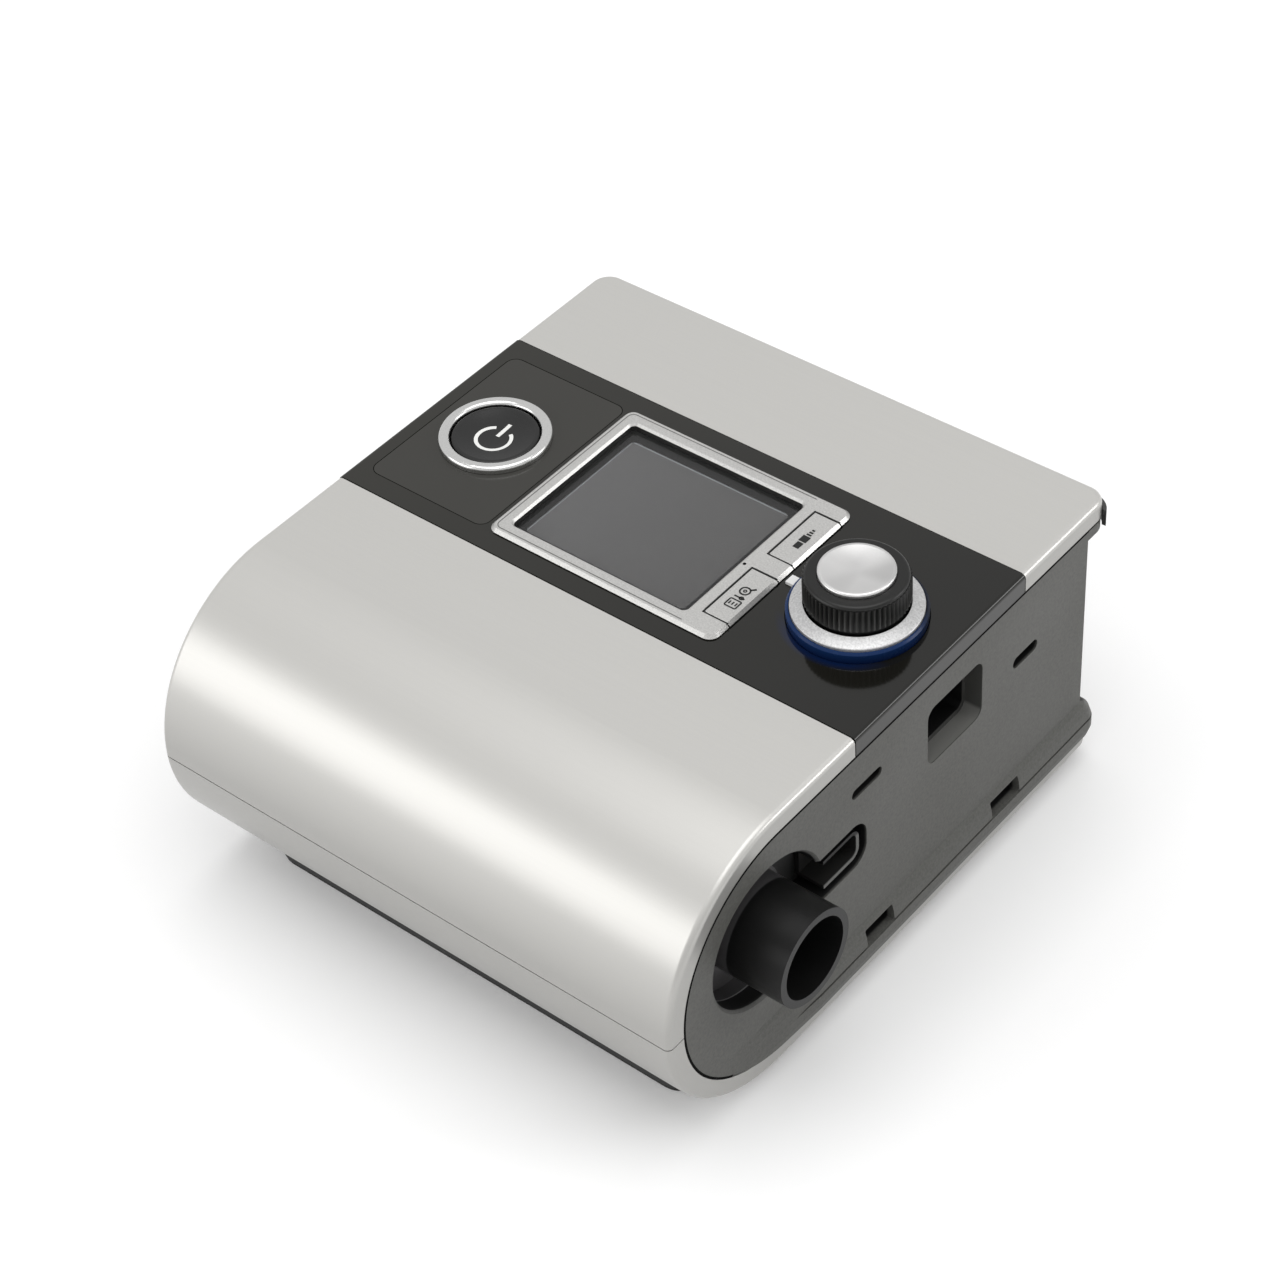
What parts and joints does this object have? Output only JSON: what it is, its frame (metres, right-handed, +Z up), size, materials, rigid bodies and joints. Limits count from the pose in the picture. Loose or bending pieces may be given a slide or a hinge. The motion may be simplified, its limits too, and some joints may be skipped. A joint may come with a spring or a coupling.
{
  "type": "cpap machine",
  "caption": "Compact bedside CPAP machine with a rounded silver nose, dark control band, display, power button, push dial, side air outlet and hinged rear filter cover.",
  "frame": {"origin": "centre of the casing on the surface that the machine stands on", "axes": "+X to the right, out of the air outlet; +Y to the rear; +Z up"},
  "size_m": [0.1513, 0.1529, 0.086],
  "materials": {
    "silver_shell": "satin silver paint",
    "dark_base": "matte",
    "rubber_black": "matte",
    "grey_panel": "fine texture",
    "dark_trim": "satin",
    "band_plastic": "satin gloss",
    "band_inlay": "satin gloss",
    "silver_trim": "satin silver",
    "clear_window": "clear",
    "black_print": "printed",
    "display_grey": "matte",
    "switch_plastic": "matte",
    "bright_ring": "satin chrome",
    "button_black": "satin gloss",
    "blue_light_ring": "translucent blue",
    "satin_ring": "satin",
    "knob_black": "satin",
    "cap_metal": "brushed",
    "shaft_steel": "ground",
    "encoder_metal": "plated",
    "board_green": "solder mask",
    "screw_steel": "plated",
    "inner_plastic": "matte",
    "blower_plastic": "matte",
    "motor_aluminium": "turned",
    "bearing_steel": "ground",
    "stator_copper": "wound",
    "magnet_iron": "sintered",
    "impeller_white": "moulded",
    "soft_rubber": "matte",
    "outlet_black": "satin",
    "shroud_grey": "matte",
    "contact_brass": "plated",
    "port_cover": "fine texture",
    "filter_felt": "fibrous",
    "foam_grey": "open-cell",
    "socket_black": "matte",
    "transformer_iron": "lacquered",
    "capacitor_sleeve": "sleeved",
    "heatsink_aluminium": "anodised"
  },
  "bodies": {
    "housing": {"front_cover": "silver_shell", "rear_cover": "silver_shell", "base_shell": "silver_shell", "plinth": "dark_base", "rubber_feet": "rubber_black", "side_panel_right": "grey_panel", "side_panel_left": "grey_panel", "rear_panel": "grey_panel", "rear_trim": "dark_trim", "control_band": "band_plastic", "button_inlay": "band_inlay", "display_frame": "silver_trim", "dial_marker": "silver_trim", "display_lens": "clear_window", "display_mask": "black_print", "display_module": "display_grey", "key_switches": "switch_plastic", "power_switch": "switch_plastic", "power_ring": "bright_ring", "dial_light_ring": "blue_light_ring", "dial_base_ring": "satin_ring", "encoder_body": "encoder_metal", "control_board": "board_green", "supply_board": "board_green", "board_screws": "screw_steel", "base_screws": "screw_steel", "inner_frame": "inner_plastic", "inlet_duct": "inner_plastic", "blower_upper": "blower_plastic", "blower_lower": "blower_plastic", "motor_can": "motor_aluminium", "motor_bearings": "bearing_steel", "motor_stator": "stator_copper", "blower_mounts": "soft_rubber", "outlet_bellows": "soft_rubber", "outlet_gasket": "soft_rubber", "outlet_pipe": "outlet_black", "connector_shroud": "shroud_grey", "connector_pins": "contact_brass", "inlet_pins": "contact_brass", "air_filter": "filter_felt", "inlet_foam": "foam_grey", "module_socket": "socket_black", "dc_inlet": "socket_black", "ac_inlet": "socket_black", "transformer": "transformer_iron", "capacitors": "capacitor_sleeve", "heatsink": "heatsink_aluminium"},
    "power_button": {"power_button": "button_black"},
    "info_key": {"info_key": "silver_trim"},
    "setup_key": {"setup_key": "silver_trim"},
    "dial_plunger": {"encoder_collar": "encoder_metal"},
    "dial": {"dial_shaft": "shaft_steel", "dial_knob": "knob_black", "dial_cap": "cap_metal"},
    "rotor": {"rotor_shaft": "shaft_steel", "rotor_magnet": "magnet_iron", "impeller": "impeller_white"},
    "filter_cover": {"filter_cover": "port_cover"},
    "module_cover": {"module_cover": "port_cover"}
  },
  "joints": [
    {"name": "power_button_press", "type": "slide", "parent": "housing", "child": "power_button", "axis": [0, 0, -1], "range_m": [0, 0.0008], "stiffness_N_per_m": 2500},
    {"name": "info_key_press", "type": "slide", "parent": "housing", "child": "info_key", "axis": [0, 0, -1], "range_m": [0, 0.0005], "stiffness_N_per_m": 2500},
    {"name": "setup_key_press", "type": "slide", "parent": "housing", "child": "setup_key", "axis": [0, 0, -1], "range_m": [0, 0.0005], "stiffness_N_per_m": 2500},
    {"name": "dial_press", "type": "slide", "parent": "housing", "child": "dial_plunger", "axis": [0, 0, -1], "range_m": [0, 0.0008], "stiffness_N_per_m": 4000},
    {"name": "dial_turn", "type": "hinge", "parent": "dial_plunger", "child": "dial", "pos_m": [0.0481, 0.0141, 0.08], "axis": [0, 0, 1], "continuous": true},
    {"name": "rotor_spin", "type": "hinge", "parent": "housing", "child": "rotor", "pos_m": [-0.012, -0.0266, 0.03], "axis": [0, 0, 1], "continuous": true},
    {"name": "filter_cover_open", "type": "hinge", "parent": "housing", "child": "filter_cover", "pos_m": [-0.042, 0.0661, 0.0235], "axis": [-1, 0, 0], "range_deg": [0, 85]},
    {"name": "module_cover_open", "type": "hinge", "parent": "housing", "child": "module_cover", "pos_m": [-0.006, 0.0661, 0.0265], "axis": [-1, 0, 0], "range_deg": [0, 85]}
  ]
}
